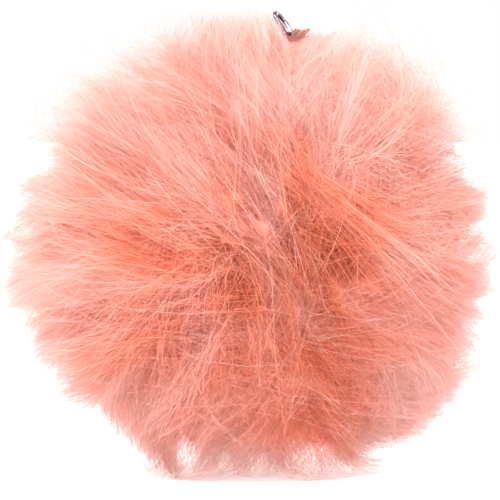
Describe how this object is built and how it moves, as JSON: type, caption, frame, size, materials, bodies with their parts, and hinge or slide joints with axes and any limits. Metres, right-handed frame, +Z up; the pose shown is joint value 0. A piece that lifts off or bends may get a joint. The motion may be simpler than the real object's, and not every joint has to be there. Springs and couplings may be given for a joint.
{
  "type": "fur pom pom",
  "caption": "Round fluffy fur pom pom charm with a gathered hide tab and a metal jump ring at its top for hanging.",
  "frame": {"origin": "on the resting plane, under the ball's centre, on the level end of the middle lock", "axes": "+X to the viewer's right in the picture's view, +Y away from the viewer, +Z up to the ring"},
  "size_m": [0.097, 0.0938, 0.0935],
  "materials": {
    "fur": "soft dyed fur, matte with a faint sheen",
    "hide": "matte dyed hide",
    "metal": "silver-tone wire, lightly worn"
  },
  "bodies": {
    "root": {"fur_ball": "fur", "gathered_tab": "hide", "jump_ring": "metal"}
  },
  "joints": []
}
